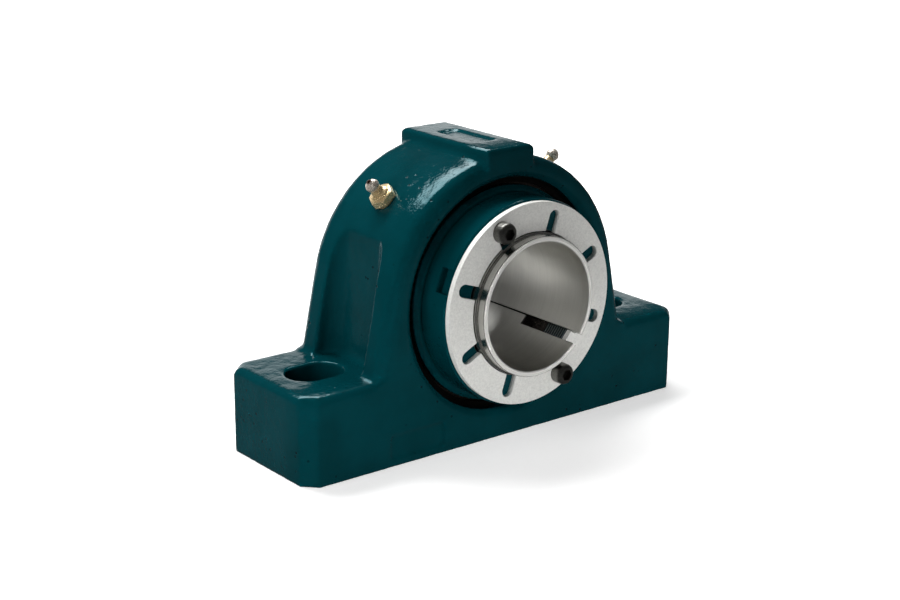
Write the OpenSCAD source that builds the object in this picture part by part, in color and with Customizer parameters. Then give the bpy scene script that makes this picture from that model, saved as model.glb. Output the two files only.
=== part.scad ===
// Plummer block: a one-piece cast housing with two bolt feet that carries a
// sealed, self-aligning double-row roller bearing. A split tapered sleeve, a
// round nut and a slotted lock plate clamp the bearing's inner ring to a shaft.
// Origin: middle of the base face. +X along the feet, +Z up, and the shaft axis
// runs along Y with the nut towards -Y, the front.

/* [Housing] */
// Length of the base along X
base_length = 231; // [222:1:245]
// Depth of the housing from front face to back face
body_depth = 67; // [66:0.5:72]
// Height of the bolt feet
foot_height = 42; // [37:0.5:46]
// Height of the shaft axis above the base face
bore_height = 70; // [69.5:0.5:76]
// Leg of the chamfer on each upright corner of the base
corner_chamfer = 6.4; // [4:0.2:10]
// Rounding of the feet's top edges
foot_round = 4; // [2:0.5:6]
// Wall of the dome at its thinnest, measured from the bearing seat
dome_wall = 12.8; // [11:0.2:15]
// How far the dome's centre lies below the shaft axis
dome_drop = 2.3; // [0:0.1:3]
// Rounding of the outer edges of the dome and its ribs
rim_round = 7; // [3:0.5:8]
// Lean of the flanks below the dome, in degrees
flank_lean = 11.5; // [8:0.5:14]
// Concave fillet where a flank meets its foot
flank_fillet = 4; // [2:0.5:6]

/* [Side pockets] */
// Width along Y of the pocket between the two ribs of a flank
pocket_width = 38; // [28:1:42]
// Wall between the bearing seat and the pocket's floor, at foot height
pocket_wall = 8; // [6:0.25:9.5]
// Lean of the pocket's floor, in degrees
pocket_lean = 4.4; // [2:0.2:6]
// Corner radius of the pocket
pocket_corner = 8; // [3:0.5:9]

/* [Bolt slots] */
// Distance from the pocket's floor to the bolt slot beside it
slot_gap = 9.75; // [8:0.25:11]
// Width of a bolt slot
slot_width = 21; // [17:0.5:24]
// Length of a bolt slot, end to end
slot_length = 28.5; // [26:0.5:31]

/* [Top pad and sunk panels] */
// Width of the raised pad on top of the dome
pad_width = 28; // [22:1:34]
// Height of the pad's face above the top of the dome
pad_rise = 4.6; // [3:0.1:8]
// Rounding of the pad's edges
pad_round = 2.5; // [1:0.5:3]
// Fillet between the pad and the dome
pad_fillet = 4; // [2:0.5:5]
// Length of the sunk panel in the pad
pad_panel_length = 30; // [20:1:40]
// Width of the sunk panel in the pad
pad_panel_width = 12; // [8:0.5:16]
// Length of the sunk panel in the front face
face_panel_length = 31.5; // [20:0.5:36]
// Height of the sunk panel in the front face
face_panel_height = 12; // [8:0.5:14]
// Distance of the front panel's middle from the middle plane
face_panel_offset = 53.5; // [48:0.5:60]
// Height of the front panel's lower edge above the base face
face_panel_lift = 3.5; // [2:0.5:8]
// Depth of both sunk panels
panel_depth = 1.2; // [0.6:0.1:2]

/* [Bearing] */
// Chamfer at each end of the bearing seat
seat_chamfer = 3; // [1:0.5:3.5]
// Width of the outer ring
outer_ring_width = 50; // [49:0.5:52]
// How far the inner ring stands out past each end of the outer ring
inner_overhang = 4.2; // [4.1:0.1:5]
// Wall of the inner ring under its raceways, where the cone is smallest
inner_ring_wall = 6.38; // [5.4:0.02:7.4]
// Wall of the outer ring at the middle of its spherical raceway
outer_ring_wall = 6; // [5.5:0.1:7]
// Largest diameter of a roller
roller_d = 9; // [8.4:0.1:9.2]
// Length of a roller
roller_length = 11; // [9:0.5:11.5]
// Rollers in each row
roller_count = 26; // [20:1:26]
// Distance of each row's middle from the bearing's middle plane
row_offset = 7.2; // [7:0.1:8]
// Height of the inner ring's shoulders above its raceways
shoulder_rise = 1; // [0.6:0.1:1.4]
// Thickness of each cage's wall
cage_wall = 2.4; // [1.6:0.1:3]
// Thickness of each cage's end rim
cage_rim = 2; // [1.4:0.1:2.4]
// Running clearance between rollers and raceways
race_gap = 0.05; // [0.02:0.01:0.1]

/* [Seals and retaining rings] */
// Step in radius from the raceway to the seal seat in the outer ring
seal_seat_rise = 3; // [2:0.1:3.2]
// How far each seal carrier stands back from the end of the outer ring
carrier_inset = 1.7; // [1:0.1:3]
// Radial height of the rubber seal between the inner ring and the carrier
seal_height = 3.4; // [2.6:0.1:4]
// Running clearance of the seal lip and of the carrier's spherical seat
seal_gap = 0.08; // [0.03:0.01:0.1]
// Thickness of a retaining ring
snap_ring_thickness = 2; // [1.4:0.1:2.4]
// How deep a retaining ring sits in its groove
snap_groove_depth = 1.9; // [1.2:0.1:2.2]
// Radial height of a retaining ring
snap_ring_height = 4.8; // [3.6:0.1:5]
// Radial gap between a flinger and the bearing seat
flinger_gap = 4.1; // [3.8:0.1:6]
// Thickness of a flinger
flinger_thickness = 3; // [2:0.1:3.1]
// Chamfer on the outer edge of a flinger
flinger_chamfer = 1.9; // [0.6:0.1:2]

/* [Sleeve, nut and lock plate] */
// Diameter of the shaft that the sleeve clamps
shaft_d = 61.9; // [60.5:0.1:62.5]
// Wall of the sleeve under its thread
sleeve_wall = 3.3; // [2.8:0.1:3.6]
// Height of the sleeve's cone over its thread, at the small end
cone_step = 0.85; // [0.4:0.05:1.2]
// How far the sleeve reaches past the inner ring at the back
sleeve_tail = 7; // [4:0.5:12]
// How far the sleeve's nose stands out of the lock plate
nose_length = 6.6; // [4:0.2:9]
// Width of the slit that runs the whole length of the sleeve
slit_width = 0.9; // [0.6:0.1:2.5]
// Width of the sleeve's keyway for the lock plate's tab
keyway_width = 5.8; // [4.6:0.1:7]
// Length of that keyway from the nose
keyway_length = 38.5; // [32:0.5:44]
// Direction of the keyway seen from the front, in degrees above +X
keyway_angle = -40; // [-50:1:-30]
// Wall of the lock nut outside its thread
nut_wall = 15.25; // [13:0.25:16]
// Length of the lock nut
nut_length = 17.1; // [14:0.1:20]
// Number of spanner notches in the nut
notch_count = 3; // [2:1:4]
// Width of a spanner notch
notch_width = 11.6; // [8:0.2:14]
// Length of a spanner notch along the axis
notch_length = 8; // [5:0.5:11]
// Depth of a spanner notch
notch_depth = 4; // [2:0.2:5]
// Direction of the first spanner notch, in degrees above +X
notch_angle = 159; // [150:1:168]
// How far the lock plate's edge stands inside the nut's
plate_margin = 1; // [0:0.25:2]
// Thickness of the lock plate
plate_thickness = 2.8; // [2:0.1:4]
// Number of radial slots in the lock plate
plate_slots = 8; // [8:2:8]
// Width of a radial slot
plate_slot_width = 6.3; // [6.2:0.1:7]
// Web between a slot's rounded end and the plate's edge
plate_web = 3.3; // [2.6:0.1:4]
// Direction of the first radial slot, in degrees above +X
plate_slot_angle = -18.5; // [-24:0.5:-14]
// Distance from the sleeve's thread to the middle of a lock screw
screw_wall = 7.65; // [7.4:0.05:7.9]
// Thread diameter of a lock screw
screw_d = 6; // [5:0.5:6]
// Head diameter of a lock screw
screw_head_d = 10; // [9:0.5:11]
// Head height of a lock screw
screw_head_height = 6; // [4:0.5:7]
// Length of a lock screw's shank
screw_length = 12; // [9:0.5:14]
// Size across the flats of a lock screw's hexagon socket
screw_socket = 5; // [4:0.5:5]

/* [Grease nipples] */
// Lean of each grease nipple from upright, in degrees
nipple_lean = 44; // [38:1:50]
// Diameter of a nipple's shank
nipple_shank_d = 9.7; // [8:0.1:10.2]
// Length of a nipple's shank in the housing
nipple_shank_length = 7; // [5:0.5:8]
// Size of a nipple's hexagon across the flats
nipple_hex = 11.1; // [10:0.1:12]
// Height of a nipple's hexagon
nipple_hex_height = 3.8; // [3:0.2:6]
// Height of a nipple's head above its hexagon
nipple_head_rise = 8.8; // [8.6:0.1:11]
// Diameter of a nipple's head
nipple_head_d = 6.6; // [6:0.1:7]
// Diameter of the check ball
ball_d = 2.4; // [2:0.1:2.6]
// How far the check ball can be pushed in
ball_travel = 0.8; // [0.4:0.1:1]
// Wire diameter of the check spring
spring_wire = 0.3; // [0.2:0.05:0.35]
// Free height of the check spring
spring_height = 7; // [5:0.5:8]
// Turns of the check spring
spring_turns = 6; // [4:1:7]

/* [Hidden] */
$fn = 96;

// Facets of the long, shallow arcs, such as a roller's crown
fine_fn = 720;
// Distance by which a cutter passes the face that it cuts
over = 1;
// Gap between two pieces that are seated on each other
seat_gap = 0.02;
// How far the body's front and back faces stand behind the base's faces
body_setback = 0.02;
// How far a fillet's arc dips into the two faces that it joins
fillet_dip = 0.06;
// Running gap of small sliding pieces
slide_gap = 0.05;

shaft_r = shaft_d / 2;
thread_r = shaft_r + sleeve_wall;
cone_slope = 1 / 24;
cone_r = thread_r + cone_step;

inner_race_r = cone_r + inner_ring_wall;
shoulder_r = inner_race_r + shoulder_rise;
race_r = inner_race_r + roller_d;
outer_ring_r = race_r + outer_ring_wall;
seat_r = outer_ring_r + seat_gap;
dome_r = seat_r + dome_wall;
pocket_floor = seat_r + pocket_wall;
slot_x = pocket_floor + slot_gap + slot_length / 2;
shell_depth = body_depth - 2 * body_setback;
dome_z = bore_height - dome_drop;
flank_length = (dome_z - over) / cos(flank_lean);
pad_z = dome_z + dome_r + pad_rise;

outer_ring_half = outer_ring_width / 2;
seal_seat_r = race_r + seal_seat_rise;
pitch_r = race_r - roller_d / 2;
row_angle = asin(row_offset / pitch_r);
crown_r = race_r - 1;
groove_r = race_r - 0.6;
inner_half = outer_ring_half + inner_overhang;
roller_end = row_offset + roller_length / 2 * cos(row_angle);
cage_end = roller_end + cage_rim + 0.6;
carrier_start = cage_end + 0.5;
carrier_end = outer_ring_half - carrier_inset;
tilt_room = 1.1;
seal_r = shoulder_r + seal_height;
oil_groove_width = 8;
oil_groove_depth = 1.5;
oil_hole_r = 1.6;

groove_gap = 0.08;
snap_start = outer_ring_half + groove_gap;
snap_outer_r = seat_r + snap_groove_depth - groove_gap;
snap_opening = 12;
flinger_r = seat_r - flinger_gap;

nut_r = thread_r + nut_wall;
nut_front = inner_half + nut_length;
plate_front = nut_front + plate_thickness;
nose_front = plate_front + nose_length;
nose_r = thread_r - 0.7;
thread_gap = 0.1;
plate_r = nut_r - plate_margin;
plate_bore_r = thread_r + 0.4;
tab_width = keyway_width - 0.5;
tab_reach = shaft_r + 0.8;
screw_circle_r = thread_r + screw_wall;
screw_angles = [plate_slot_angle + 135, plate_slot_angle + 315];

nipple_base = dome_r + 0.3;
nipple_top = nipple_base + nipple_hex_height + nipple_head_rise;
chamber_r = ball_d / 2 + slide_gap;
orifice_r = ball_d / 2 - 0.4;
orifice_depth = 1.1;
ball_drop = sqrt(pow(ball_d / 2, 2) - pow(orifice_r, 2)) + seat_gap;
ball_place = nipple_top - orifice_depth - ball_drop;
spring_mean_r = ball_d / 2 - spring_wire / 2 - 0.1;
spring_top = ball_place - sqrt(pow(ball_d / 2, 2) - pow(spring_mean_r, 2)) - spring_wire / 2 - 0.1;
spring_seat = spring_top - spring_height;

paint = [0.02, 0.29, 0.32];
bright_steel = [0.72, 0.72, 0.70];
ring_steel = [0.55, 0.56, 0.57];
zinc_plate = [0.78, 0.77, 0.73];
dark_steel = [0.22, 0.23, 0.24];
brass = [0.80, 0.64, 0.30];
gold_zinc = [0.80, 0.70, 0.45];
rubber = [0.10, 0.10, 0.11];

// Turns local z to the front and local x to +X, round the shaft axis
module on_shaft_axis() {
    translate([0, 0, bore_height])
        rotate([90, 0, 0])
            children();
}

// The same at the back: local z points to the back
module at_back() {
    mirror([0, 1, 0])
        children();
}

// A band round local z, given by two radii and two places along the axis
module band(inner_r, outer_r, start, end) {
    rotate_extrude()
        translate([inner_r, start])
            square([outer_r - inner_r, end - start]);
}

// A rectangle with all corners round, centred
module round_rect(length, width, corner) {
    square([length - 2 * corner, width], center = true);
    square([length, width - 2 * corner], center = true);
    for (x = [-1, 1], y = [-1, 1])
        translate([x * (length / 2 - corner), y * (width / 2 - corner)])
            circle(corner);
}

// A strip from x = 0 to reach, centred on y = 0, with its two far corners round
module round_end_strip(reach, width, corner) {
    translate([0, -width / 2])
        square([reach - corner, width]);
    translate([0, -width / 2 + corner])
        square([reach, width - 2 * corner]);
    for (y = [-1, 1])
        translate([reach - corner, y * (width / 2 - corner)])
            circle(corner);
}

// Corner filler between level ground and a wall that leans by lean degrees; the
// wall's foot is at the origin and the ground runs to +x
module fillet_section(r, lean) {
    centre_y = r - fillet_dip;
    centre_x = centre_y * (1 - sin(lean)) / cos(lean);
    difference() {
        polygon([
            [-r / 2, -r / 2], [centre_x, -r / 2], [centre_x, 0],
            [centre_x - centre_y * cos(lean), centre_y * (1 - sin(lean))],
            [-r, centre_y * (1 - sin(lean))]
        ]);
        translate([centre_x, centre_y])
            circle(r);
    }
}

// Cast housing

// Right flank of the body: the dome's section carried straight down to the foot
module flank() {
    translate([0, 0, dome_z])
        rotate([0, -flank_lean, 0])
            rotate([180, 0, 0])
                linear_extrude(flank_length)
                    round_end_strip(dome_r, shell_depth, rim_round);
}

// X of the flank's outer face at a height
function flank_x(z) = dome_r / cos(flank_lean) - (z - dome_z) * tan(flank_lean);

// Fillet along the foot of the flank, carried round its two upright edges
module flank_fillets() {
    reach = shell_depth / 2 - rim_round;
    edge_x = flank_x(foot_height);
    translate([edge_x, reach, foot_height])
        rotate([90, 0, 0])
            linear_extrude(2 * reach)
                fillet_section(flank_fillet, flank_lean);
    for (side = [0, 1])
        mirror([0, side, 0])
            intersection() {
                translate([edge_x - rim_round, reach, foot_height])
                    rotate_extrude(angle = 90, $fn = 48)
                        translate([rim_round, 0])
                            fillet_section(flank_fillet, flank_lean);
                translate([0, 0, foot_height - foot_round])
                    cube([base_length / 2, shell_depth / 2, 4 * foot_round]);
            }
}

// Pocket between the ribs of the right flank
module side_pocket() {
    reach = 40;
    intersection() {
        translate([pocket_floor, 0, foot_height])
            rotate([0, -pocket_lean, 0])
                translate([reach, 0, -reach])
                    mirror([1, 0, 0])
                        linear_extrude(dome_r + 2 * reach)
                            round_end_strip(reach, pocket_width, pocket_corner);
        translate([0, -body_depth / 2, foot_height])
            cube([base_length / 2, body_depth, dome_r + bore_height]);
    }
}

module pocket_fillet() {
    reach = pocket_width / 2;
    translate([pocket_floor, reach, foot_height])
        rotate([90, 0, 0])
            linear_extrude(2 * reach)
                fillet_section(flank_fillet, pocket_lean);
}

// Base block with chamfered upright corners and round top edges
module base_block() {
    difference() {
        intersection() {
            translate([-base_length / 2, 0, 0])
                rotate([90, 0, 90])
                    linear_extrude(base_length)
                        rotate(90)
                            round_end_strip(foot_height, body_depth, foot_round);
            translate([0, body_depth / 2, 0])
                rotate([90, 0, 0])
                    linear_extrude(body_depth)
                        rotate(90)
                            round_end_strip(foot_height, base_length, foot_round);
        }
        for (x = [0, 1], y = [0, 1])
            mirror([x, 0, 0])
                mirror([0, y, 0])
                    translate([base_length / 2, body_depth / 2, 0])
                        rotate([90, 0, 45])
                            corner_cutter();
    }
}

// Cuts the chamfer of one upright corner, with the round edge above it
module corner_cutter() {
    reach = -corner_chamfer / sqrt(2);
    edge_round = 1.2 * foot_round;
    span = 2 * (corner_chamfer + edge_round);
    translate([0, 0, -span])
        linear_extrude(2 * span) {
            translate([reach, -over])
                square([span, foot_height + 2 * over]);
            difference() {
                translate([reach - edge_round, foot_height - edge_round])
                    square([edge_round + over, edge_round + over]);
                translate([reach - edge_round, foot_height - edge_round])
                    circle(edge_round);
            }
        }
}

module top_pad() {
    foot_z = dome_z + dome_r / 2;
    height = pad_z - foot_z;
    fillet_z = dome_z + sqrt(pow(dome_r + pad_fillet, 2) - pow(pad_width / 2 + pad_fillet, 2));
    dome_share = dome_r / (dome_r + pad_fillet);
    fillet_foot_x = (pad_width / 2 + pad_fillet) * dome_share;
    fillet_foot_z = dome_z + (fillet_z - dome_z) * dome_share;
    fillet_half = body_depth / 2 - rim_round - over;
    intersection() {
        translate([0, shell_depth / 2, foot_z])
            rotate([90, 0, 0])
                linear_extrude(shell_depth)
                    rotate(90)
                        round_end_strip(height, pad_width, pad_round);
        translate([-pad_width, 0, foot_z])
            rotate([90, 0, 90])
                linear_extrude(2 * pad_width)
                    rotate(90)
                        round_end_strip(height, shell_depth, pad_round);
    }
    for (side = [0, 1])
        mirror([side, 0, 0])
            translate([0, fillet_half, 0])
                rotate([90, 0, 0])
                    linear_extrude(2 * fillet_half)
                        difference() {
                            polygon([
                                [pad_width / 2 - over, fillet_z],
                                [pad_width / 2 + pad_fillet, fillet_z],
                                [fillet_foot_x, fillet_foot_z],
                                [fillet_foot_x - over, fillet_foot_z - over],
                                [pad_width / 2 - over, fillet_foot_z - over]
                            ]);
                            translate([pad_width / 2 + pad_fillet, fillet_z])
                                circle(pad_fillet);
                        }
}

module bolt_slot() {
    translate([slot_x, 0, -over])
        linear_extrude(foot_height + 2 * over) {
            square([slot_length - slot_width, slot_width], center = true);
            for (end = [-1, 1])
                translate([end * (slot_length - slot_width) / 2, 0])
                    circle(slot_width / 2);
        }
}

module seat_cutter() {
    on_shaft_axis() {
        cylinder(h = body_depth + 2 * over, r = seat_r, center = true);
        for (side = [0, 1])
            mirror([0, 0, side]) {
                translate([0, 0, body_depth / 2 - seat_chamfer])
                    cylinder(h = seat_chamfer + over, r1 = seat_r, r2 = seat_r + seat_chamfer + over);
                translate([0, 0, outer_ring_half])
                    cylinder(h = snap_ring_thickness + 2 * groove_gap, r = seat_r + snap_groove_depth);
            }
    }
}

// Local z runs out along the right nipple's axis from the dome's centre
module on_nipple_axis() {
    translate([0, 0, dome_z])
        rotate([0, nipple_lean, 0])
            children();
}

module nipple_hole() {
    on_nipple_axis() {
        translate([0, 0, nipple_base - nipple_shank_length - over])
            cylinder(h = nipple_shank_length + 5 * over, r = nipple_shank_d / 2 + slide_gap);
        translate([0, 0, seat_r - 2 * dome_drop - over])
            cylinder(h = dome_wall, r = 2);
    }
}

module sunk_panels() {
    translate([0, 0, pad_z - panel_depth])
        linear_extrude(panel_depth + over)
            round_rect(pad_panel_width, pad_panel_length, 1.5);
    translate([-face_panel_offset, panel_depth - body_depth / 2, face_panel_lift + face_panel_height / 2])
        rotate([90, 0, 0])
            linear_extrude(panel_depth + over)
                round_rect(face_panel_length, face_panel_height, 1.5);
}

// Body above the feet: the dome's sector between its two flanks, less the pockets
module upper_body() {
    difference() {
        union() {
            on_shaft_axis()
                translate([0, -dome_drop, 0])
                    rotate([0, 0, flank_lean])
                        rotate_extrude(angle = 180 - 2 * flank_lean)
                            round_end_strip(dome_r, shell_depth, rim_round);
            for (side = [0, 1])
                mirror([side, 0, 0]) {
                    flank();
                    flank_fillets();
                }
        }
        for (side = [0, 1])
            mirror([side, 0, 0])
                side_pocket();
    }
}

module housing() {
    color(paint)
        difference() {
            union() {
                base_block();
                upper_body();
                top_pad();
                for (side = [0, 1])
                    mirror([side, 0, 0])
                        pocket_fillet();
            }
            seat_cutter();
            sunk_panels();
            for (side = [0, 1])
                mirror([side, 0, 0]) {
                    bolt_slot();
                    nipple_hole();
                }
        }
}

// Bearing

module outer_ring() {
    color(ring_steel)
        on_shaft_axis()
            difference() {
                rotate_extrude()
                    difference() {
                        translate([race_r / 2, -outer_ring_half])
                            square([outer_ring_r - race_r / 2, outer_ring_width]);
                        circle(race_r, $fn = fine_fn);
                        for (side = [0, 1])
                            mirror([0, side])
                                intersection() {
                                    circle(seal_seat_r, $fn = fine_fn);
                                    translate([0, carrier_start - tilt_room])
                                        square([seal_seat_r + over, outer_ring_width]);
                                }
                        translate([outer_ring_r - oil_groove_depth, -oil_groove_width / 2])
                            square([oil_groove_depth + over, oil_groove_width]);
                    }
                for (turn = [90, 210, 330])
                    rotate([0, 0, turn])
                        rotate([0, 90, 0])
                            cylinder(h = outer_ring_r + over, r = oil_hole_r);
            }
}

// Radius of the sleeve's cone at a place along the axis, counted to the front
function cone_at(place) = cone_r + (inner_half - place) * cone_slope;

module inner_ring() {
    color(ring_steel)
        on_shaft_axis()
            rotate_extrude()
                difference() {
                    polygon([
                        [cone_at(inner_half) + seat_gap, inner_half],
                        [shoulder_r - 0.5, inner_half], [shoulder_r, inner_half - 0.5],
                        [shoulder_r, 0.5 - inner_half], [shoulder_r - 0.5, -inner_half],
                        [cone_at(-inner_half) + seat_gap, -inner_half]
                    ]);
                    for (side = [-1, 1])
                        raceway_groove(side);
                }
}

// Shallow groove that a row of barrel rollers runs in, cut into the inner ring
module raceway_groove(side) {
    centre = inner_race_r + groove_r;
    groove_half = roller_length / 2 + 0.3;
    rotate(side * row_angle)
        intersection() {
            translate([centre, 0])
                circle(groove_r, $fn = fine_fn);
            translate([inner_race_r - over, -groove_half])
                square([roller_d, 2 * groove_half]);
        }
}

// Half section of a barrel roller, its own axis along y
module roller_section(radius, length, crown) {
    intersection() {
        translate([radius - crown, 0])
            circle(crown, $fn = fine_fn);
        translate([0, -length / 2])
            square([radius, length]);
    }
}

// Puts one roller-shaped child at each place of a row
module roller_places(side) {
    for (i = [0 : roller_count - 1])
        rotate([0, 0, (i + (1 - side) / 4) * 360 / roller_count])
            rotate([0, -side * row_angle, 0])
                translate([pitch_r, 0, 0])
                    children();
}

module roller_row(side) {
    color(bright_steel)
        on_shaft_axis()
            roller_places(side)
                rotate_extrude()
                    roller_section(roller_d / 2 - race_gap, roller_length, crown_r);
}

module front_rollers() roller_row(1);

module rear_rollers() roller_row(-1);

// Comb cage of one row: a sloping ring with a pocket for each roller
module cage(side) {
    pocket_gap = 0.2;
    inner_end = -roller_length / 2 + 1;
    rim_end = roller_length / 2 + cage_rim;
    color(brass)
        on_shaft_axis()
            difference() {
                rotate_extrude()
                    rotate(side * row_angle)
                        translate([pitch_r - cage_wall / 2, side > 0 ? inner_end : -rim_end])
                            square([cage_wall, rim_end - inner_end]);
                roller_places(side)
                    translate([0, 0, side * -pocket_gap])
                        cylinder(h = roller_length + 3 * pocket_gap, r = roller_d / 2 + pocket_gap, center = true);
            }
}

module front_cage() cage(1);

module rear_cage() cage(-1);

// Loose ring between the rows that keeps the rollers' inner ends in line
module guide_ring() {
    end_gap = 0.2;
    low_r = shoulder_r + 0.3;
    high_r = race_r - 1;
    color(ring_steel)
        on_shaft_axis()
            rotate_extrude()
                polygon([
                    [low_r, guide_half(low_r) - end_gap], [high_r, guide_half(high_r) - end_gap],
                    [high_r, end_gap - guide_half(high_r)], [low_r, end_gap - guide_half(low_r)]
                ]);
}

// Half of the space between the two rows' inner roller ends at a radius
function guide_half(r) = (r * sin(row_angle) - roller_length / 2) / cos(row_angle);

// Seals

// Steel carrier with a spherical outside, which tilts in the outer ring's seat
module seal_carrier() {
    lip = 0.8;
    color(dark_steel)
        on_shaft_axis()
            rotate_extrude()
                difference() {
                    intersection() {
                        circle(seal_seat_r - seal_gap, $fn = fine_fn);
                        translate([shoulder_r + seal_height / 2, carrier_start])
                            square([seal_seat_r, carrier_end - carrier_start]);
                    }
                    translate([shoulder_r, carrier_start + lip])
                        square([seal_height + seat_gap, carrier_end - carrier_start]);
                }
}

// Rubber seal in the carrier's groove, with two lips that run on the inner ring
module lip_seal() {
    start = carrier_start + 0.8 + seat_gap;
    lip_r = shoulder_r + seal_gap;
    color(rubber)
        on_shaft_axis()
            rotate_extrude()
                polygon([
                    [seal_r, start], [seal_r, carrier_end], [lip_r + 0.9, carrier_end],
                    [lip_r, carrier_end - 0.6], [lip_r + 1, carrier_end - 1.9],
                    [lip_r + 1, start + 1.9], [lip_r, start + 0.6], [lip_r + 0.9, start]
                ]);
}

module front_seal_carrier() seal_carrier();

module rear_seal_carrier() at_back() seal_carrier();

module front_seal() lip_seal();

module rear_seal() at_back() lip_seal();

// Retaining ring that holds the outer ring in the housing, open at the bottom
module snap_ring() {
    color(dark_steel)
        on_shaft_axis()
            difference() {
                band(snap_outer_r - snap_ring_height, snap_outer_r, snap_start, snap_start + snap_ring_thickness);
                translate([-snap_opening / 2, -2 * seat_r, 0])
                    cube([snap_opening, 2 * seat_r, 2 * outer_ring_width]);
            }
}

module front_snap_ring() snap_ring();

module rear_snap_ring() at_back() snap_ring();

// Disc on the end of the inner ring that turns with it and throws dirt off
module flinger() {
    start = inner_half - flinger_thickness;
    color(paint)
        on_shaft_axis()
            rotate_extrude()
                polygon([
                    [shoulder_r + seat_gap, start], [flinger_r, start],
                    [flinger_r, inner_half - flinger_chamfer], [flinger_r - flinger_chamfer, inner_half],
                    [shoulder_r + seat_gap, inner_half]
                ]);
}

module front_flinger() flinger();

module rear_flinger() at_back() flinger();

// Sleeve, nut and lock plate

module adapter_sleeve() {
    tail = -inner_half - sleeve_tail;
    relief = 1.6;
    groove_depth = 1.2;
    color(bright_steel)
        on_shaft_axis()
            difference() {
                rotate_extrude()
                    polygon([
                        [shaft_r, tail + 0.5], [shaft_r + 0.5, tail],
                        [cone_at(tail) - 0.8, tail], [cone_at(tail + 0.8), tail + 0.8],
                        [cone_r, inner_half], [thread_r - 0.5, inner_half + 0.4],
                        [thread_r - 0.5, inner_half + relief], [thread_r, inner_half + relief + 0.5],
                        [thread_r, plate_front + 0.9], [thread_r - groove_depth, plate_front + 1.3],
                        [thread_r - groove_depth, plate_front + 2], [nose_r, plate_front + 2.3],
                        [nose_r, nose_front - 0.7], [nose_r - 0.7, nose_front],
                        [shaft_r + 0.6, nose_front], [shaft_r, nose_front - 0.6]
                    ]);
                rotate([0, 0, keyway_angle]) {
                    translate([0, -keyway_width / 2, nose_front - keyway_length])
                        cube([2 * shaft_r, keyway_width, keyway_length + over]);
                    translate([0, keyway_width / 2 - slit_width, tail - over])
                        cube([2 * shaft_r, slit_width, nose_front - tail + 2 * over]);
                }
            }
}

module lock_nut() {
    edge = 0.8;
    bore_r = thread_r + thread_gap;
    color(paint)
        on_shaft_axis()
            difference() {
                rotate_extrude()
                    polygon([
                        [bore_r + 0.8, inner_half], [nut_r - edge, inner_half],
                        [nut_r, inner_half + edge], [nut_r, nut_front - edge],
                        [nut_r - edge, nut_front], [bore_r + 0.8, nut_front],
                        [bore_r, nut_front - 0.8], [bore_r, inner_half + 0.8]
                    ]);
                for (i = [0 : notch_count - 1])
                    rotate([0, 0, notch_angle + i * 360 / notch_count])
                        translate([nut_r - notch_depth, -notch_width / 2, nut_front - notch_length])
                            cube([notch_depth + over, notch_width, notch_length + over]);
                for (angle = screw_angles)
                    rotate([0, 0, angle])
                        translate([screw_circle_r, 0, nut_front - screw_length])
                            cylinder(h = screw_length + over, r = screw_d / 2 + seat_gap);
            }
}

// Radial slot of the lock plate, open to its bore
module plate_slot() {
    end = plate_r - plate_web - plate_slot_width / 2;
    translate([0, -plate_slot_width / 2])
        square([end, plate_slot_width]);
    translate([end, 0])
        circle(plate_slot_width / 2);
}

module lock_plate() {
    color(zinc_plate)
        on_shaft_axis()
            translate([0, 0, nut_front])
                linear_extrude(plate_thickness) {
                    difference() {
                        circle(plate_r);
                        circle(plate_bore_r);
                        for (i = [0 : plate_slots - 1])
                            rotate(plate_slot_angle + i * 360 / plate_slots)
                                plate_slot();
                    }
                    rotate(keyway_angle)
                        difference() {
                            translate([tab_reach, -tab_width / 2])
                                square([plate_bore_r + over - tab_reach, tab_width]);
                            circle(tab_reach);
                        }
                }
}

module lock_screw() {
    shank = screw_length + plate_thickness - over;
    head_edge = 2.2;
    side_height = screw_head_height - head_edge;
    translate([screw_circle_r, 0, plate_front])
        difference() {
            rotate_extrude() {
                polygon([
                    [0, -shank], [screw_d / 2 - 0.6, -shank], [screw_d / 2, 0.6 - shank],
                    [screw_d / 2, 0], [screw_head_d / 2, 0], [screw_head_d / 2, side_height],
                    [screw_head_d / 2 - head_edge, side_height],
                    [screw_head_d / 2 - head_edge, screw_head_height], [0, screw_head_height]
                ]);
                intersection() {
                    translate([screw_head_d / 2 - head_edge, side_height])
                        circle(head_edge);
                    translate([0, side_height - head_edge / 2])
                        square([screw_head_d / 2, 2 * head_edge]);
                }
            }
            translate([0, 0, screw_head_height / 2])
                cylinder(h = screw_head_height, r = screw_socket / sqrt(3), $fn = 6);
        }
}

module lock_screws() {
    color(dark_steel)
        on_shaft_axis()
            for (angle = screw_angles)
                rotate([0, 0, angle])
                    lock_screw();
}

// Grease nipples

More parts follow.
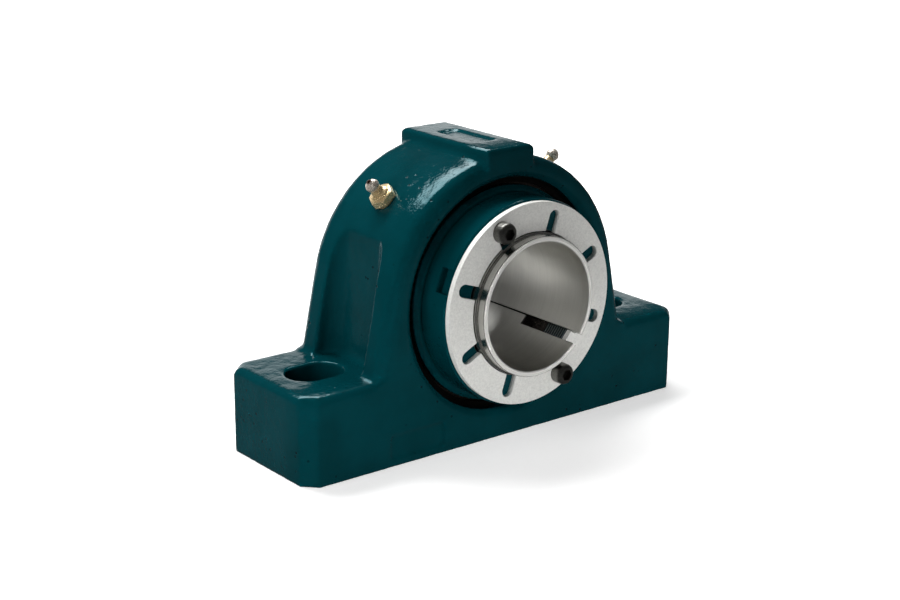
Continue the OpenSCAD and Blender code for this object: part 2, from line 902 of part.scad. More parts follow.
module grease_nipple() {
    head_r = nipple_head_d / 2;
    hex_top = nipple_base + nipple_hex_height;
    corner_r = nipple_hex / sqrt(3);
    corner_drop = 0.7;
    color(gold_zinc)
        on_nipple_axis()
            difference() {
                union() {
                    intersection() {
                        translate([0, 0, nipple_base])
                            cylinder(h = nipple_hex_height, r = corner_r, $fn = 6);
                        rotate_extrude()
                            polygon([
                                [0, nipple_base - over], [corner_r + over, nipple_base - over],
                                [corner_r + over, hex_top - corner_drop - over / 2],
                                [corner_r - 2 * corner_drop, hex_top], [0, hex_top]
                            ]);
                    }
                    rotate_extrude()
                        polygon([
                            [0, nipple_base - nipple_shank_length],
                            [nipple_shank_d / 2 - 0.5, nipple_base - nipple_shank_length],
                            [nipple_shank_d / 2, nipple_base + 0.5 - nipple_shank_length],
                            [nipple_shank_d / 2, nipple_base + over], [4.6, hex_top],
                            [4.2, hex_top + 0.8], [3.1, hex_top + 1.6], [2.5, nipple_top - 5.2],
                            [head_r - 0.2, nipple_top - 3.9], [head_r, nipple_top - 3.3],
                            [head_r, nipple_top - 2.5], [head_r - 0.6, nipple_top - 1.2],
                            [orifice_r + 0.6, nipple_top], [0, nipple_top]
                        ]);
                }
                translate([0, 0, nipple_base - nipple_shank_length - over])
                    cylinder(h = 2 * nipple_top, r = orifice_r);
                translate([0, 0, spring_seat])
                    cylinder(h = nipple_top - orifice_depth - spring_seat, r = chamber_r);
            }
}

module check_ball() {
    color(bright_steel)
        on_nipple_axis()
            translate([0, 0, ball_place])
                sphere(ball_d / 2);
}

// Helical spring: a small polygon carried along the helix, closed at both ends
module check_spring() {
    sides = 6;
    steps = 12 * spring_turns;
    climb = spring_height - spring_wire;
    rings = [for (i = [0 : steps])
        let (turn = 360 * spring_turns * i / steps)
        [for (k = [0 : sides - 1])
            let (around = 360 * k / sides, reach = spring_mean_r + spring_wire / 2 * cos(around))
            [reach * cos(turn), reach * sin(turn), climb * i / steps + spring_wire / 2 * sin(around)]]];
    points = [for (ring = rings) for (p = ring) p];
    walls = [for (i = [0 : steps - 1], k = [0 : sides - 1])
        let (a = i * sides + k, b = i * sides + (k + 1) % sides)
        [a, a + sides, b + sides, b]];
    first_cap = [[for (k = [0 : sides - 1]) k]];
    last_cap = [[for (k = [sides - 1 : -1 : 0]) steps * sides + k]];
    color(bright_steel)
        on_nipple_axis()
            translate([0, 0, spring_seat + spring_wire / 2 + seat_gap])
                polyhedron(points, concat(walls, first_cap, last_cap), convexity = 10);
}

module left_grease_nipple() mirror([1, 0, 0]) grease_nipple();

module right_grease_nipple() grease_nipple();

module left_check_ball() mirror([1, 0, 0]) check_ball();

module right_check_ball() check_ball();

module left_check_spring() mirror([1, 0, 0]) check_spring();

module right_check_spring() check_spring();

housing();
outer_ring();
inner_ring();
front_rollers();
rear_rollers();
front_cage();
rear_cage();
guide_ring();
front_seal_carrier();
rear_seal_carrier();
front_seal();
rear_seal();
front_snap_ring();
rear_snap_ring();
front_flinger();
rear_flinger();
adapter_sleeve();
lock_nut();
lock_plate();
lock_screws();
left_grease_nipple();
right_grease_nipple();
left_check_ball();
right_check_ball();
left_check_spring();
right_check_spring();
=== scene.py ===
import math

import bpy
import numpy as np
from mathutils import Matrix, Vector


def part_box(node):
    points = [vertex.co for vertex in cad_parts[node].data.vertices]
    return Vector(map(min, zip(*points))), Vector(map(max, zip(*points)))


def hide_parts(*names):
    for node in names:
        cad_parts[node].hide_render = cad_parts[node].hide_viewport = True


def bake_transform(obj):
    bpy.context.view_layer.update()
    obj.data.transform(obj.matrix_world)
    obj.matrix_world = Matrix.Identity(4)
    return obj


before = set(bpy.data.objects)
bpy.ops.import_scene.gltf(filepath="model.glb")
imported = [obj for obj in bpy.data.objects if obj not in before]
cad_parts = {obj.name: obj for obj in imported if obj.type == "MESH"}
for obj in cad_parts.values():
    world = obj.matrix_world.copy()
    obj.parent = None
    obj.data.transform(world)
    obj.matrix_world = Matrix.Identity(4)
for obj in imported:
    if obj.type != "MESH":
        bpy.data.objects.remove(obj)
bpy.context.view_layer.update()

# Cast housing. One iron casting with two bolt feet, pocketed flanks and a pad on
# top, rough from the sand mould, its edges blunt. It is dipped in thick, glossy
# dark teal enamel, which sags, and shows sand pits here and there.
DOME_CENTRE = (0.0, 0.0, 0.0677)
ENAMEL_TEAL = (0.0003, 0.034, 0.042)
ENAMEL_DEEP = (0.0002, 0.027, 0.033)
# Painted shade: the enamel's teal, darkened, for the shade inside the sand pits.
ENAMEL_PIT_SHADE = (0.0002, 0.008, 0.011)
ENAMEL_SHEEN = (0.30, 0.88, 1.0, 1.0)
ENAMEL_IOR = 1.33
SAG_HEIGHT = 0.00030
LUMP_HEIGHT = 0.00020
PEEL_HEIGHT = 0.000030
PIT_DEPTH = 0.00016
DRAFT_START = -0.012
DRAFT_LENGTH = 0.0215


def new_group(name, inputs, outputs):
    """A shader node group; inputs and outputs are (name, type) pairs. Returns the
    group, the socket of each input by name, and the output node."""
    group = bpy.data.node_groups.new(name, "ShaderNodeTree")
    for label, kind in inputs:
        group.interface.new_socket(label, in_out="INPUT", socket_type="NodeSocket" + kind)
    for label, kind in outputs:
        group.interface.new_socket(label, in_out="OUTPUT", socket_type="NodeSocket" + kind)
    sockets = group.nodes.new("NodeGroupInput").outputs
    given = {label: sockets[label] for label, kind in inputs}
    return group, given, group.nodes.new("NodeGroupOutput")


def feed(tree, socket, value):
    """Links a socket's source to it, or sets its value."""
    if isinstance(value, bpy.types.NodeSocket):
        tree.links.new(value, socket)
    elif isinstance(value, tuple) and socket.type == "RGBA" and len(value) == 3:
        socket.default_value = (*value, 1.0)
    else:
        socket.default_value = value


def add_node(tree, kind, fed=None, **settings):
    """A node of that kind with its settings; fed gives its inputs by name or
    number, each a value or another node's socket."""
    node = tree.nodes.new(kind)
    for key, value in settings.items():
        setattr(node, key, value)
    for label, value in (fed or {}).items():
        feed(tree, node.inputs[label], value)
    return node


def compute(tree, operation, first, second=0.0, clamp=False):
    """The result of a math operation on two values."""
    fed = {0: first, 1: second}
    return add_node(tree, "ShaderNodeMath", fed, operation=operation, use_clamp=clamp).outputs[0]


def part_of(tree, vector, index):
    """The x, y or z of a vector, or the red, green or blue of a colour."""
    kind = "ShaderNodeSeparateColor" if vector.type == "RGBA" else "ShaderNodeSeparateXYZ"
    return add_node(tree, kind, {0: vector}).outputs[index]


def measure(tree, operation, first, second=(0.0, 0.0, 0.0)):
    """The number that a vector operation on two vectors gives."""
    fed = {0: first, 1: second}
    return add_node(tree, "ShaderNodeVectorMath", fed, operation=operation).outputs["Value"]


def noise(tree, place, scale, detail=2.0, roughness=0.5):
    """Fractal noise round 0.5 at place, with scale lumps to the metre."""
    fed = {"Vector": place, "Scale": scale, "Detail": detail, "Roughness": roughness}
    return add_node(tree, "ShaderNodeTexNoise", fed).outputs["Fac"]


def carry(tree, value, low, high, to_low=0.0, to_high=1.0):
    """value from low..high carried smoothly to to_low..to_high, held at the ends."""
    fed = {"Value": value, "From Min": low, "From Max": high, "To Min": to_low, "To Max": to_high}
    node = add_node(tree, "ShaderNodeMapRange", fed, interpolation_type="SMOOTHSTEP")
    return node.outputs["Result"]


def blend(tree, share, first, second):
    """The colour first where share is 0 and second where it is 1."""
    fed = {0: share, 6: first, 7: second}
    return add_node(tree, "ShaderNodeMix", fed, data_type="RGBA").outputs[2]


def use_group(tree, group, **fed):
    """A node of the group; fed gives its inputs, spaces in names as underscores."""
    node = add_node(tree, "ShaderNodeGroup", node_tree=group)
    for label, value in fed.items():
        feed(tree, node.inputs[label.replace("_", " ")], value)
    return node.outputs


def new_material(name, **plain):
    """A material's tree, its shader and its object coordinates; plain gives the
    shader's uniform values, spaces in names as underscores."""
    material = bpy.data.materials.new(name)
    material.use_nodes = True
    tree = material.node_tree
    shader = tree.nodes["Principled BSDF"]
    for label, value in plain.items():
        shader.inputs[label.replace("_", " ")].default_value = value
    return tree, shader, tree.nodes.new("ShaderNodeTexCoord").outputs["Object"]


def finish_shader(tree, shader, colour, roughness, height, depth, edge=None):
    """Feeds the shader's colour and roughness, and the height as a bump of depth
    metres, over rounded edges where edge is given."""
    feed(tree, shader.inputs["Base Color"], colour)
    feed(tree, shader.inputs["Roughness"], roughness)
    bump = add_node(tree, "ShaderNodeBump", {"Height": height, "Strength": 1.0, "Distance": depth})
    if edge:
        rounded = add_node(tree, "ShaderNodeBevel", {"Radius": edge}, samples=4)
        feed(tree, bump.inputs["Normal"], rounded.outputs["Normal"])
    feed(tree, shader.inputs["Normal"], bump.outputs["Normal"])


def dress(material, *nodes):
    """Gives CAD nodes the material in place of their packed one."""
    for node in nodes:
        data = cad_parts[node].data
        data.materials.clear()
        data.materials.append(bpy.data.materials[material])


def dipped_enamel_group():
    """Enamel over a casting: broad sags, lumps, orange peel and sparse sand pits,
    as a height in metres, with shares for tone, pits and gloss."""
    group, given, out = new_group(
        "dipped_enamel",
        [("Place", "Vector"), ("Lumps", "Float"), ("Peel", "Float"), ("Pits", "Float")],
        [("Height", "Float"), ("Tone", "Float"), ("Pit", "Float"), ("Gloss", "Float")])
    place = given["Place"]
    broad = noise(group, place, 38.0, 2.0)
    lumps = noise(group, place, 260.0, 3.0, 0.6)
    peel = noise(group, place, 1100.0, 2.0, 0.6)
    where = carry(group, noise(group, place, 34.0, 3.0), 0.46, 0.58)
    fed = {"Vector": place, "Scale": 330.0, "Randomness": 1.0}
    grains = add_node(group, "ShaderNodeTexVoronoi", fed).outputs
    pick = carry(group, part_of(group, grains["Color"], 0), 0.80, 0.84)
    spot = carry(group, grains["Distance"], 0.12, 0.26, 1.0, 0.0)
    for share in (pick, given["Pits"], where):
        spot = compute(group, "MULTIPLY", spot, share)
    height = compute(group, "MULTIPLY", broad, SAG_HEIGHT)
    for relief, share, size in ((lumps, given["Lumps"], LUMP_HEIGHT),
                                (peel, given["Peel"], PEEL_HEIGHT)):
        relief = compute(group, "MULTIPLY", compute(group, "MULTIPLY", relief, share), size)
        height = compute(group, "ADD", height, relief)
    height = compute(group, "SUBTRACT", height, compute(group, "MULTIPLY", spot, PIT_DEPTH))
    feed(group, out.inputs["Height"], height)
    feed(group, out.inputs["Tone"], carry(group, broad, 0.3, 0.7))
    feed(group, out.inputs["Pit"], spot)
    feed(group, out.inputs["Gloss"], carry(group, lumps, 0.3, 0.7))
    return group


DIPPED_ENAMEL = dipped_enamel_group()


def enamel_skin(tree, place, lumps, peel, pits):
    """The enamel's group with its relief set by lumps, peel and pits, and its
    colour over tones, darkened in the pits as painted shade."""
    skin = use_group(tree, DIPPED_ENAMEL, Place=place, Lumps=lumps, Peel=peel, Pits=pits)
    tone = blend(tree, skin["Tone"], ENAMEL_TEAL, ENAMEL_DEEP)
    # Painted shade: the enamel's colour is darkened where the pits are.
    return skin, blend(tree, skin["Pit"], tone, ENAMEL_PIT_SHADE)


def enamel(name, lumps, peel, pits, edge=None, draft=None):
    """The teal enamel as a material, with its relief set by lumps, peel and pits.
    A draft in metres is how far the casting's skin falls away towards its front."""
    tree, shader, place = new_material(name, IOR=ENAMEL_IOR, Specular_Tint=ENAMEL_SHEEN)
    skin, colour = enamel_skin(tree, place, lumps, peel, pits)
    gloss = carry(tree, skin["Gloss"], 0.0, 1.0, 0.05, 0.13)
    height = skin["Height"]
    if draft:
        taper = compute(tree, "SUBTRACT", DRAFT_START, part_of(tree, place, 1))
        taper = compute(tree, "MULTIPLY", taper, 1.0 / DRAFT_LENGTH, clamp=True)
        fall = compute(tree, "MULTIPLY", compute(tree, "POWER", taper, 2.0), draft)
        height = compute(tree, "SUBTRACT", height, fall)
    finish_shader(tree, shader, colour, gloss, height, 1.0, edge)


def add_modifier(piece, name, kind, **settings):
    """A modifier of that kind on the piece."""
    modifier = piece.modifiers.new(name, kind)
    for key, value in settings.items():
        setattr(modifier, key, value)


SKIN_VOXEL = 0.0009
SAND_GRAIN = 0.005
SAND_MARK_DEPTH = 0.00028
enamel("housing_enamel", 1.0, 2.0, 1.0, draft=0.0028)
dress("housing_enamel", "housing")
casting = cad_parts["housing"]
sand = bpy.data.textures.new("mould_sand", "CLOUDS")
sand.noise_scale = SAND_GRAIN
sand.noise_depth = 2
add_modifier(casting, "poured_skin", "REMESH", mode="VOXEL", voxel_size=SKIN_VOXEL,
             use_smooth_shade=True)
add_modifier(casting, "blunt_edges", "SMOOTH", factor=0.5, iterations=4)
add_modifier(casting, "sand_marks", "DISPLACE", texture=sand, texture_coords="LOCAL",
             strength=SAND_MARK_DEPTH, mid_level=1.0)
add_modifier(casting, "lighter_mesh", "DECIMATE", ratio=0.52)

# Bearing rings, rollers, guide ring and check balls. Hardened bearing steel, ground.
# The rings and balls are near black: partly a brown oil film, partly painted shade
# of the gap round the bearing and of the nipples' mouths, where they show.


def metal_grain_group():
    """Fine grain and broad stains of bare metal, each a share from 0 to 1."""
    group, given, out = new_group("metal_grain", [("Place", "Vector"), ("Grain", "Float")],
                                  [("Grain Share", "Float"), ("Stain Share", "Float")])
    fine = noise(group, given["Place"], given["Grain"], 3.0, 0.65)
    feed(group, out.inputs["Grain Share"], carry(group, fine, 0.32, 0.68))
    stain = noise(group, given["Place"], 70.0, 3.0)
    feed(group, out.inputs["Stain Share"], carry(group, stain, 0.42, 0.75))
    return group


METAL_GRAIN = metal_grain_group()


def mix_shares(tree, first, first_part, second, second_part):
    """Two shares added up, each times its part, and held to 1."""
    first = compute(tree, "MULTIPLY", first, first_part)
    second = compute(tree, "MULTIPLY", second, second_part)
    return compute(tree, "ADD", first, second, clamp=True)


def bare_metal(name, bright, dull, roughness, grain, relief, edge=None):
    """Metal from bright to dull over its grain and stains, with a relief in metres."""
    tree, shader, place = new_material(name, Metallic=1.0)
    shares = use_group(tree, METAL_GRAIN, Place=place, Grain=grain)
    grains = shares["Grain Share"]
    share = mix_shares(tree, grains, 0.5, shares["Stain Share"], 0.5)
    rough = carry(tree, grains, 0.0, 1.0, roughness * 0.8, roughness * 1.25)
    finish_shader(tree, shader, blend(tree, share, bright, dull), rough, grains, relief, edge)


# Near black, partly oil film and partly painted shade of the gap and the nipples' mouths.
bare_metal("oiled_steel_and_gap_shade", (0.07, 0.062, 0.054), (0.025, 0.022, 0.020),
           0.28, 900.0, 0.000004)
dress("oiled_steel_and_gap_shade",
      "outer_ring", "inner_ring", "guide_ring", "left_check_ball", "right_check_ball")
bare_metal("ground_roller_steel", (0.62, 0.61, 0.59), (0.38, 0.37, 0.35),
           0.12, 2600.0, 0.000001)
dress("ground_roller_steel", "front_rollers", "rear_rollers")

# Comb cages. Each is machined from cast brass, with a pocket for every roller of
# its row, and runs round with the rollers.
bare_metal("cage_brass", (0.62, 0.43, 0.16), (0.36, 0.24, 0.09), 0.3, 1500.0, 0.000004)
dress("cage_brass", "front_cage", "rear_cage")

# Seal carriers and retaining rings, pressed from spring steel and left black with oil;
# their near-black colour is also painted shade of the gap they sit in. The retaining
# rings are sprung into their grooves in the housing.
# Near black, partly the steel's black finish and partly painted shade of the gap.
bare_metal("black_steel_and_gap_shade", (0.016, 0.015, 0.014), (0.006, 0.006, 0.005),
           0.38, 1200.0, 0.000006)
dress("black_steel_and_gap_shade",
      "front_seal_carrier", "rear_seal_carrier", "front_snap_ring", "rear_snap_ring")

# Lip seals. They are moulded in black rubber, slightly dusty and matt from the
# mould, and pressed into their carriers.
tree, shader, place = new_material("seal_rubber")
mould = use_group(tree, METAL_GRAIN, Place=place, Grain=1400.0)
colour = blend(tree, mould["Stain Share"], (0.010, 0.010, 0.011), (0.022, 0.022, 0.022))
rough = carry(tree, mould["Grain Share"], 0.0, 1.0, 0.45, 0.65)
finish_shader(tree, shader, colour, rough, mould["Grain Share"], 0.00002)
dress("seal_rubber", "front_seal", "rear_seal")

# Flingers. Turned steel discs on the inner ring's ends, in the housing's enamel,
# which lies smoother on them than on the casting.
enamel("turned_enamel", 0.25, 0.8, 0.35, edge=0.0006)
dress("turned_enamel", "front_flinger", "rear_flinger")

# Lock nut, turned and enamelled outside. Its threaded bore is bare steel, seen
# through the sleeve's keyway; its colour runs dark in the thread's roots and light
# on its crests, as painted shade and highlight.
SHAFT_HEIGHT = 0.070
NUT_BORE_EDGE = 0.0352
THREAD_PITCH = 0.0015
THREAD_RELIEF = 0.0002


def hypotenuse(tree, first, second):
    """The square root of two values' squares added up."""
    squares = [compute(tree, "MULTIPLY", value, value) for value in (first, second)]
    return compute(tree, "SQRT", compute(tree, "ADD", *squares))


def shaft_radius(tree, place):
    """Distance from the shaft axis, and the place along it."""
    aside, along, up = add_node(tree, "ShaderNodeSeparateXYZ", {0: place}).outputs
    return hypotenuse(tree, aside, compute(tree, "SUBTRACT", up, SHAFT_HEIGHT)), along


tree, shader, place = new_material("lock_nut_enamel", IOR=ENAMEL_IOR, Specular_Tint=ENAMEL_SHEEN)
skin, colour = enamel_skin(tree, place, 0.25, 0.8, 0.35)
radius, along = shaft_radius(tree, place)
painted = carry(tree, radius, NUT_BORE_EDGE - 0.0002, NUT_BORE_EDGE)
bare = compute(tree, "SUBTRACT", 1.0, painted)
ridges = compute(tree, "SINE", compute(tree, "MULTIPLY", along, 2.0 * math.pi / THREAD_PITCH))
# Painted shade and highlight: the bare thread is dark in its roots and light on its crests.
steel = blend(tree, carry(tree, ridges, -1.0, 1.0), (0.03, 0.03, 0.028), (0.26, 0.255, 0.24))
thread = compute(tree, "MULTIPLY", bare, compute(tree, "MULTIPLY", ridges, THREAD_RELIEF))
height = compute(tree, "ADD", skin["Height"], thread)
feed(tree, shader.inputs["Metallic"], bare)
rough = carry(tree, painted, 0.0, 1.0, 0.35, 0.08)
finish_shader(tree, shader, blend(tree, painted, steel, colour), rough, height, 1.0, 0.0006)
dress("lock_nut_enamel", "lock_nut")

# Adapter sleeve, turned and bored from bar with fine rings all over, and slit
# along its whole length. Its nose stands out of the lock plate, and its end face
# is freshly cut and pale.


def turned_rings_group():
    """Lathe marks round the shaft axis: noise along the axis only, in a fine and
    a coarse step, broken up a little along each ring."""
    group, given, out = new_group("turned_rings", [("Place", "Vector"), ("Rings", "Float")],
                                  [("Ring Share", "Float"), ("Band Share", "Float")])
    fed = {"Vector": given["Place"], "Scale": (0.012, 1.0, 0.012)}
    stretched = add_node(group, "ShaderNodeMapping", fed).outputs["Vector"]
    fine = noise(group, stretched, given["Rings"], 3.0, 0.7)
    band = noise(group, stretched, 260.0, 3.0, 0.6)
    feed(group, out.inputs["Ring Share"], carry(group, fine, 0.3, 0.7))
    feed(group, out.inputs["Band Share"], carry(group, band, 0.35, 0.65))
    return group


TURNED_RINGS = turned_rings_group()
BORE_EDGE = 0.0315
SLEEVE_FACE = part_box("adapter_sleeve")[0][1]
RING_RELIEF = 0.000002
tree, shader, place = new_material("turned_sleeve_steel")
rings = use_group(tree, TURNED_RINGS, Place=place, Rings=3200.0)
radius, along = shaft_radius(tree, place)
outside = carry(tree, radius, BORE_EDGE, BORE_EDGE + 0.0006)
face = carry(tree, along, SLEEVE_FACE + 0.0003, SLEEVE_FACE + 0.0007, 1.0, 0.0)
feed(tree, shader.inputs["Metallic"], carry(tree, face, 0.0, 1.0, 1.0, 0.3))
share = mix_shares(tree, rings["Ring Share"], carry(tree, outside, 0.0, 1.0, 0.2, 0.4),
                   rings["Band Share"], carry(tree, outside, 0.0, 1.0, 0.1, 0.3))
height = compute(tree, "ADD", compute(tree, "MULTIPLY", rings["Ring Share"], RING_RELIEF),
                 compute(tree, "MULTIPLY", rings["Band Share"], RING_RELIEF))
colour = blend(tree, share, (0.62, 0.615, 0.585), (0.38, 0.375, 0.355))
rough = carry(tree, outside, 0.0, 1.0, 0.41, 0.27)
finish_shader(tree, shader, blend(tree, face, colour, (0.84, 0.835, 0.80)),
              rough, height, 1.0, 0.0003)
dress("turned_sleeve_steel", "adapter_sleeve")

# Lock plate, stamped from sheet, tumbled and zinc plated to a dull fine spangle.
# Its tab drops into the sleeve's keyway.
tree, shader, place = new_material("plate_zinc", Metallic=0.25)
shares = use_group(tree, METAL_GRAIN, Place=place, Grain=1300.0)
spangle = add_node(tree, "ShaderNodeTexVoronoi", {"Vector": place, "Scale": 1100.0})
flake = part_of(tree, spangle.outputs["Color"], 0)
share = mix_shares(tree, shares["Grain Share"], 0.5, flake, 0.5)
finish_shader(tree, shader, blend(tree, share, (0.92, 0.92, 0.88), (0.76, 0.76, 0.73)),
              carry(tree, flake, 0.0, 1.0, 0.42, 0.60), shares["Grain Share"], 0.000014, 0.0002)
dress("plate_zinc", "lock_plate")

# Lock screws. Two hexagon-socket screws with a dark phosphate finish, which hold
# the lock plate to the nut.
bare_metal("phosphated_steel", (0.21, 0.21, 0.195), (0.10, 0.10, 0.094),
           0.38, 1800.0, 0.000006, 0.0003)
dress("phosphated_steel", "lock_screws")

# Grease nipples, turned from hexagon bar. The hexagon is passivated pale gold, the
# head beyond its neck is worn to bare steel by the grease gun, and its mouth is
# dark with old grease. Each is screwed into the dome, square to its skin.
NIPPLE_LEAN = math.radians(44.0)
NIPPLE_HEAD_START = 0.0772
NIPPLE_TIP_START = 0.0810
NIPPLE_MOUTH_RADIUS = 0.0014
tree, shader, place = new_material("passivated_nipple", Metallic=0.75)
shares = use_group(tree, METAL_GRAIN, Place=place, Grain=1500.0)
from_dome = add_node(tree, "ShaderNodeVectorMath", {0: place, 1: DOME_CENTRE}, operation="SUBTRACT")
aside, along, up = add_node(tree, "ShaderNodeSeparateXYZ", {0: from_dome.outputs["Vector"]}).outputs
reach = measure(tree, "DISTANCE", place, DOME_CENTRE)
beside = compute(tree, "MULTIPLY", compute(tree, "ABSOLUTE", aside), math.cos(NIPPLE_LEAN))
beside = compute(tree, "SUBTRACT", beside, compute(tree, "MULTIPLY", up, math.sin(NIPPLE_LEAN)))
off_axis = hypotenuse(tree, beside, along)
head = carry(tree, reach, NIPPLE_HEAD_START - 0.0004, NIPPLE_HEAD_START + 0.0004)
mouth = carry(tree, off_axis, NIPPLE_MOUTH_RADIUS - 0.0002, NIPPLE_MOUTH_RADIUS + 0.0002, 1.0, 0.0)
tip = carry(tree, reach, NIPPLE_TIP_START - 0.0002, NIPPLE_TIP_START + 0.0002)
greasy = compute(tree, "MULTIPLY", mouth, tip)
gold = blend(tree, shares["Stain Share"], (0.92, 0.73, 0.42), (0.74, 0.54, 0.27))
steel = blend(tree, shares["Stain Share"], (0.86, 0.79, 0.69), (0.64, 0.57, 0.48))
colour = blend(tree, greasy, blend(tree, head, gold, steel), (0.10, 0.055, 0.04))
rough = carry(tree, shares["Grain Share"], 0.0, 1.0, 0.24, 0.34)
finish_shader(tree, shader, colour, rough, shares["Grain Share"], 0.000001, 0.00015)
dress("passivated_nipple", "left_grease_nipple", "right_grease_nipple")

# Check springs, wound from drawn steel wire. Each stands on the step in its nipple's
# bore and holds the ball on its seat.
SPRING_SEAT = 0.07220
SPRING_HEIGHT = 0.0070
COIL_RADIUS = 0.00095
WIRE_RADIUS = 0.00015
SPRING_TURNS = 6
STEPS_PER_TURN = 24
WIRE_SIDES = 10
bare_metal("drawn_spring_wire", (0.42, 0.41, 0.39), (0.22, 0.21, 0.20),
           0.25, 2600.0, 0.000001)


def wound_spring(name, side):
    """A wire carried along a helix: the turn angle runs along the coil while it
    rises evenly, and the angle round the wire gives its round section. Both ends
    are capped."""
    last_turn = 2.0 * math.pi * SPRING_TURNS
    turn = np.linspace(0.0, last_turn, STEPS_PER_TURN * SPRING_TURNS + 1)[:, None]
    around = np.linspace(0.0, 2.0 * math.pi, WIRE_SIDES, endpoint=False)[None, :]
    reach = COIL_RADIUS + WIRE_RADIUS * np.cos(around)
    climb = (SPRING_HEIGHT - 2.0 * WIRE_RADIUS) * turn / last_turn
    rise = WIRE_RADIUS * (1.0 + np.sin(around)) + climb
    outwards = np.array((side * math.sin(NIPPLE_LEAN), 0.0, math.cos(NIPPLE_LEAN)))
    across = np.array((math.cos(NIPPLE_LEAN), 0.0, -side * math.sin(NIPPLE_LEAN)))
    seat = np.array(DOME_CENTRE) + SPRING_SEAT * outwards
    places = (seat + (reach * np.cos(turn))[..., None] * across + rise[..., None] * outwards
              + (reach * np.sin(turn))[..., None] * np.array((0.0, 1.0, 0.0)))
    rows, columns = turn.shape[0], around.shape[1]
    row_start = np.arange(rows - 1)[:, None] * columns
    start = (row_start + np.arange(columns)).ravel()
    beside = (row_start + (np.arange(columns) + 1) % columns).ravel()
    sides = np.stack((start, start + columns, beside + columns, beside), axis=1).tolist()
    last_row = (rows - 1) * columns
    caps = [list(range(columns)), list(range(last_row + columns - 1, last_row - 1, -1))]
    mesh = bpy.data.meshes.new(name)
    mesh.from_pydata(places.reshape(-1, 3).tolist(), [], sides + caps)
    mesh.shade_smooth()
    mesh.materials.append(bpy.data.materials["drawn_spring_wire"])
    coil = bpy.data.objects.new(name + "_coil", mesh)
    bpy.context.scene.collection.objects.link(coil)
    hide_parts(name)
    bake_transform(coil)


wound_spring("left_check_spring", -1.0)
wound_spring("right_check_spring", 1.0)

# Studio: a pale floor and a white surround. A bright backdrop stands behind the
# part and shows in its upward faces, while the camera's side is dim.
BACKDROP_TOP = 0.36
BRIGHT_FLOOR_AIM = (0.90, 0.43, 0.0)
ROOM_DIM = 0.05
AMBIENT = 0.05
FLOOR_SIZE = 6.0
FLOOR_GREY = (0.62, 0.62, 0.62)
MIRRORED_GREY = (0.05, 0.05, 0.05)
FLOOR_GLOW = 0.58
MIRRORED_GLOW = 0.08
SHADOW_REACH = 0.15
WHITE_FROM = 0.36


def seen_rays(tree, *kinds):
    """1 for rays of those kinds, else 0."""
    outputs = tree.nodes.new("ShaderNodeLightPath").outputs
    seen = outputs[kinds[0]]
    for kind in kinds[1:]:
        seen = compute(tree, "MAXIMUM", seen, outputs[kind])
    return seen


bpy.ops.mesh.primitive_plane_add(size=FLOOR_SIZE, location=(0.0, 0.0, 0.0))
floor = bpy.context.object
floor.name = "studio_floor"
material = bpy.data.materials.new("studio_floor")
material.use_nodes = True
tree = material.node_tree
tree.nodes.clear()
mirrored = seen_rays(tree, "Is Glossy Ray")
grey = blend(tree, mirrored, FLOOR_GREY, MIRRORED_GREY)
card = add_node(tree, "ShaderNodeBsdfDiffuse", {"Color": grey})
white = seen_rays(tree, "Is Camera Ray", "Is Transmission Ray")
place = tree.nodes.new("ShaderNodeTexCoord").outputs["Object"]
behind = carry(tree, measure(tree, "DOT_PRODUCT", place, BRIGHT_FLOOR_AIM), 0.0, 0.06)
beyond = carry(tree, part_of(tree, place, 1), 0.0, 0.10)
shown = carry(tree, compute(tree, "MULTIPLY", behind, beyond), 0.0, 1.0, MIRRORED_GLOW, 1.0)
mirrored = compute(tree, "MULTIPLY", mirrored, shown)
distance = measure(tree, "LENGTH", place)
fade = carry(tree, distance, SHADOW_REACH, WHITE_FROM, FLOOR_GLOW, 1.0)
white = compute(tree, "MULTIPLY", white, fade)
glow = add_node(tree, "ShaderNodeEmission", {"Strength": compute(tree, "ADD", white, mirrored)})
both = add_node(tree, "ShaderNodeAddShader", {0: card.outputs[0], 1: glow.outputs[0]})
add_node(tree, "ShaderNodeOutputMaterial", {"Surface": both.outputs[0]})
floor.data.materials.append(material)

world = bpy.data.worlds.new("studio_surround")
bpy.context.scene.world = world
world.use_nodes = True
tree = world.node_tree
direction = tree.nodes.new("ShaderNodeTexCoord").outputs["Generated"]
aside, back, up = add_node(tree, "ShaderNodeSeparateXYZ", {0: direction}).outputs
below_top = carry(tree, up, BACKDROP_TOP - 0.05, BACKDROP_TOP + 0.05, 1.0, 0.0)
backdrop = compute(tree, "MULTIPLY", carry(tree, aside, -0.40, -0.20), carry(tree, back, 0.3, 0.5))
backdrop = compute(tree, "MULTIPLY", backdrop, below_top)
backdrop = carry(tree, backdrop, 0.0, 1.0, ROOM_DIM, 1.0)
mirrored = seen_rays(tree, "Is Glossy Ray")
ambient = compute(tree, "MULTIPLY", compute(tree, "SUBTRACT", 1.0, mirrored), AMBIENT)
strength = compute(tree, "ADD", compute(tree, "MULTIPLY", mirrored, backdrop), ambient)
white = seen_rays(tree, "Is Camera Ray", "Is Transmission Ray")
strength = compute(tree, "MAXIMUM", strength, white)
feed(tree, tree.nodes["Background"].inputs["Strength"], strength)
tree.nodes["Background"].inputs["Color"].default_value = (1.0, 1.0, 1.0, 1.0)


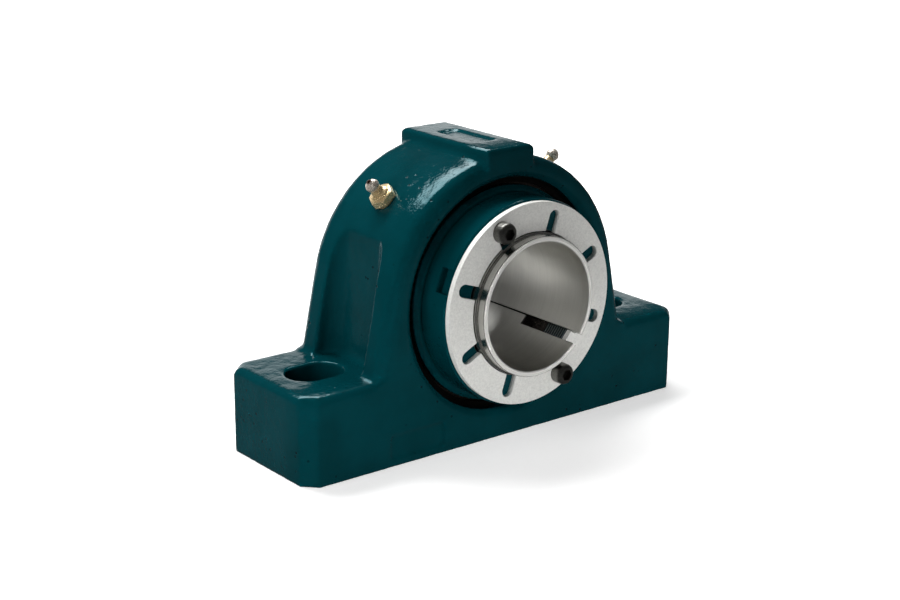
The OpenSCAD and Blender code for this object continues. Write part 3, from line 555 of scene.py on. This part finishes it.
def softbox(name, place, width, height, power, aim=(0.0, 0.0, 0.06), spread=180.0):
    """A rectangular lamp at place that faces aim, its beam spread in degrees."""
    lamp = bpy.data.lights.new(name, "AREA")
    lamp.shape = "RECTANGLE"
    lamp.size, lamp.size_y = width, height
    lamp.energy, lamp.spread = power, math.radians(spread)
    holder = bpy.data.objects.new(name, lamp)
    bpy.context.scene.collection.objects.link(holder)
    holder.location = place
    holder.rotation_euler = (Vector(aim) - Vector(place)).to_track_quat("-Z", "Y").to_euler()
    return holder


softbox("overhead", (0.10, 0.40, 0.85), 0.90, 0.38, 12.0, aim=(0.10, 0.40, 0.0))
softbox("side_left", (-1.05, -0.15, 0.45), 0.7, 0.6, 8.7).visible_glossy = False
softbox("front_low", (0.05, -1.1, 0.06), 0.9, 0.1, 0.25,
        aim=(0.05, 0.0, 0.02), spread=14.0).visible_glossy = False
softbox("back_fill", (-0.25, 0.45, 0.90), 0.30, 0.30, 3.5).visible_glossy = False

# Camera. It stands where the perspective of the base's edges puts the
# photograph's camera, with the same lens and a slight roll.
CAMERA_AZIMUTH = math.radians(-38.633)
CAMERA_ELEVATION = math.radians(17.217)
CAMERA_ROLL = math.radians(0.543)
CAMERA_DISTANCE = 0.8578
CAMERA_TARGET = (-0.00893, 0.0, 0.06137)
FOCAL_PIXELS = 1771.98
PHOTO_WIDTH = 900
SENSOR_WIDTH = 36.0
away = Vector((math.sin(CAMERA_AZIMUTH) * math.cos(CAMERA_ELEVATION),
               -math.cos(CAMERA_AZIMUTH) * math.cos(CAMERA_ELEVATION), math.sin(CAMERA_ELEVATION)))
level = Vector((math.cos(CAMERA_AZIMUTH), math.sin(CAMERA_AZIMUTH), 0.0))
right = Matrix.Rotation(CAMERA_ROLL, 3, away) @ level
up = away.cross(right)
lens = bpy.data.cameras.new("photo_camera")
lens.sensor_width = SENSOR_WIDTH
lens.lens = FOCAL_PIXELS / PHOTO_WIDTH * SENSOR_WIDTH
lens.clip_start = 0.01
camera = bpy.data.objects.new("photo_camera", lens)
bpy.context.scene.collection.objects.link(camera)
station = Matrix.Translation(Vector(CAMERA_TARGET) + away * CAMERA_DISTANCE)
camera.matrix_world = station @ Matrix((right, up, away)).transposed().to_4x4()
bpy.context.scene.camera = camera
bpy.context.scene.view_settings.view_transform = "Standard"
